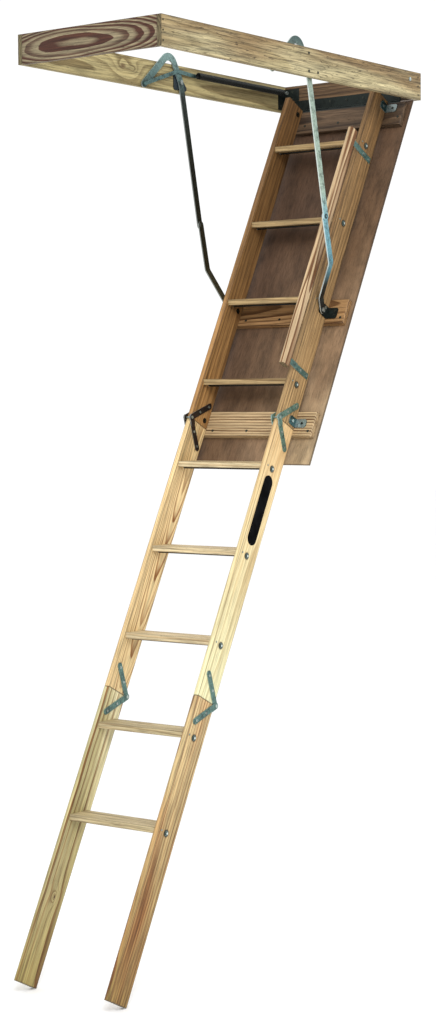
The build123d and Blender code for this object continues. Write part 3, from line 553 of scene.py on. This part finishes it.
def paint_metal():
    arm_right = steel("steel_arm_right", "8DA79F", rivet=ELBOW, metallic=0.5, grime="27332F",
                      spangle=0.25, painted_edge_highlight=0.55,
                      heights=((-0.80, "0E1312"), (-0.70, "1E2624"), (-0.64, "5E97A6"),
                               (-0.48, "7FB2BC"), (-0.40, "A9BFAE"), (0.00, "9DB0A2"),
                               (0.07, "4E6664")))
    arm_left = steel("steel_arm_left", "4A4E42", metallic=0.5, grime="0C0D08", painted_edge_highlight=0.25,
                     heights=((-0.80, "5A5740"), (-0.62, "3C3B2A"), (-0.30, "2A2D24"),
                              (-0.06, "303A36"), (0.01, "64827F"), (0.07, "86A4A0")))
    strap = steel("steel_strap", "5F827A", metallic=0.5, grime="202B27", painted_edge_highlight=0.2)
    joint_strap = steel("steel_joint_strap", "6E9184", metallic=0.5, grime="202B27", painted_edge_highlight=0.2,
                        left="3A2C28")
    plate = steel("steel_plate", "26343C", metallic=0.6, rough=0.30, grime="0A1110")
    bracket = steel("steel_bracket", "3A5F62", metallic=0.6, rough=0.28, grime="060A0A", painted_edge_highlight=0.3)
    dark = steel("steel_dark", "222A27", metallic=0.6, rough=0.42, spangle=0.2)
    bright = steel("steel_bright", "C4D0CC", metallic=0.8, rough=0.28, spangle=0.4,
                   grime="1C2120")
    angle_bolt = steel("steel_angle_bolt", "B8C6C2", metallic=0.8, rough=0.28, spangle=0.4,
                       grime="1C2120", left="3A3A30")
    rods = rod_steel("steel_rods")
    fastener = steel("steel_fastener", "41463F", metallic=0.7, rough=0.48, grime="15110C")
    strap_screw = steel("steel_strap_screw", "B4C2BC", metallic=0.7, rough=0.30, grime="1A1612")
    finishes = {
        "arm_pivot_plates": plate, "rail_angles": bracket, "handrail_brackets": strap,
        "lower_joint_middle_straps": strap, "lower_joint_bottom_straps": strap,
        "upper_joint_top_straps": joint_strap, "upper_joint_middle_straps": joint_strap,
        "frame_hinge_leaf": dark, "door_hinge_leaf": dark, "door_hinge_pin": dark,
        "corner_brackets": dark, "arm_foot_brackets": dark, "spring_anchor_bolts": bright,
        "arm_pivot_bolts": bright, "rail_angle_bolts": angle_bolt, "arm_foot_bolts": bright,
        "upper_joint_pins": strap_screw, "lower_joint_pins": strap_screw,
        "top_tie_rods": rods, "middle_tie_rods": rods, "bottom_tie_rods": rods,
        "frame_corner_nails": fastener, "frame_screws_and_bolts": fastener,
        "door_screws": fastener, "top_section_screws": strap_screw,
        "middle_section_screws": strap_screw, "bottom_section_screws": strap_screw,
        "spring_link_right": arm_right,
        "spring_link_left": steel("steel_link_left", "5F7E7C", metallic=0.6, grime="1A211F"),
        "rail_badge": plastic("plastic_badge", "020203"),
    }
    for part in ("upper_arm", "lower_arm"):
        finishes[part + "_right"] = arm_right
        finishes[part + "_left"] = arm_left
    for node, finish in finishes.items():
        paint(node, finish)


def round_edges():
    """Small bevels so that sawn boards and sheared steel catch the light on their corners."""
    for name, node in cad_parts.items():
        steel_part = any(word in name for word in ("arm_", "strap", "bracket", "angle", "link"))
        board_part = any(word in name for word in ("rail_", "tread", "cleat", "board", "handrail"))
        if not (steel_part or board_part):
            continue
        bevel = node.modifiers.new("eased", "BEVEL")
        bevel.width = STEEL_BEVEL if steel_part else BOARD_BEVEL
        bevel.segments = 2
        bevel.limit_method = "ANGLE"
        bevel.angle_limit = BEVEL_ANGLE
        bevel.harden_normals = False


# ---- springs: closed coils of round wire in place of the plain solids ------

def wire_curve(name, points):
    data = bpy.data.curves.new(name, "CURVE")
    data.dimensions = "3D"
    data.bevel_depth = WIRE / 2
    data.bevel_resolution = 2
    data.use_fill_caps = True
    spline = data.splines.new("POLY")
    spline.points.add(len(points) - 1)
    for place, point in zip(spline.points, points):
        place.co = (*point, 1.0)
    piece = bpy.data.objects.new(name, data)
    bpy.context.scene.collection.objects.link(piece)
    return piece


def spring(side, name, material):
    x = COIL_X * side
    turns = (COIL_NEAR - COIL_FAR - 2 * WIRE) / COIL_PITCH
    steps = int(turns * POINTS_PER_TURN)
    z = ANCHOR[1]
    points = []
    for i in range(HOOK_POINTS):
        angle = math.radians(HOOK_START + HOOK_SWEEP * i / (HOOK_POINTS - 1))
        points.append((x, ANCHOR[0] + HOOK_RADIUS * math.cos(angle),
                       z + HOOK_RADIUS * math.sin(angle)))
    points.append((x, ANCHOR[0] - HOOK_RADIUS + HOOK_LEAD[0], z + HOOK_LEAD[1]))
    for i in range(steps + 1):
        angle = 2 * math.pi * i / POINTS_PER_TURN
        grow = min(1.0, 0.25 + i / (COIL_GROWTH * POINTS_PER_TURN))
        y = COIL_NEAR - WIRE - i / POINTS_PER_TURN * COIL_PITCH
        points.append((x + COIL_RADIUS * grow * math.sin(angle), y,
                       z + COIL_RADIUS * grow * math.cos(angle)))
    piece = wire_curve(name, points)
    piece.data.materials.append(material)
    return piece


def build_springs():
    black = steel("steel_spring", "1B1D1B", metallic=0.7, rough=0.34, spangle=0.05)
    for side, word in ((1, "right"), (-1, "left")):
        piece = spring(side, f"spring_coil_{word}", black)
        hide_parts(f"lift_spring_{word}")
        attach(piece, f"lift_spring_{word}")


# ---- floor, light and camera ----------------------------------------------

def build_stage():
    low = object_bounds()[0]
    bpy.ops.mesh.primitive_plane_add(size=FLOOR_SIZE, location=(0, 0, low.z - FLOOR_GAP))
    floor = bpy.context.object
    floor.name = "floor"
    g = Graph("floor_pale")
    soft = g.noise(g.coords(), 3.0, 2.0)
    g.feed("Base Color", g.ramp(soft.outputs["Fac"], (0.0, 0.95), (1.0, 0.97)))
    g.feed("Roughness", 0.9)
    paint(floor, g.material)


def area_light(name, place, target, size, power):
    light = bpy.data.lights.new(name, "AREA")
    light.size = size
    light.energy = power
    lamp = bpy.data.objects.new(name, light)
    lamp.location = place
    lamp.rotation_euler = (Vector(target) - Vector(place)).to_track_quat("-Z", "Y").to_euler()
    bpy.context.scene.collection.objects.link(lamp)


def build_light():
    world = bpy.data.worlds.new("studio")
    bpy.context.scene.world = world
    world.use_nodes = True
    background = world.node_tree.nodes["Background"]
    background.inputs["Color"].default_value = (1.0, 1.0, 1.0, 1.0)
    background.inputs["Strength"].default_value = SKY_STRENGTH
    area_light("key", KEY_PLACE, KEY_TARGET, KEY_SIZE, KEY_POWER)
    bpy.context.scene.view_settings.view_transform = "Standard"


def build_camera():
    data = bpy.data.cameras.new("camera")
    data.lens = CAMERA_LENS
    data.sensor_width = CAMERA_SENSOR
    data.shift_x, data.shift_y = CAMERA_SHIFT
    data.clip_end = CAMERA_REACH
    camera = bpy.data.objects.new("camera", data)
    camera.location = CAMERA_PLACE
    level = math.cos(CAMERA_PITCH)
    forward = Vector((-math.sin(CAMERA_YAW) * level, math.cos(CAMERA_YAW) * level,
                      math.sin(CAMERA_PITCH)))
    right = forward.cross(Vector((0, 0, 1))).normalized()
    up = right.cross(forward)
    turned_right = math.cos(CAMERA_ROLL) * right + math.sin(CAMERA_ROLL) * up
    turned_up = -math.sin(CAMERA_ROLL) * right + math.cos(CAMERA_ROLL) * up
    matrix = Matrix((turned_right, turned_up, -forward)).transposed()
    camera.rotation_euler = matrix.to_euler()
    bpy.context.scene.collection.objects.link(camera)
    bpy.context.scene.camera = camera


paint_wood()
paint_metal()
round_edges()
build_springs()
build_stage()
build_light()
build_camera()
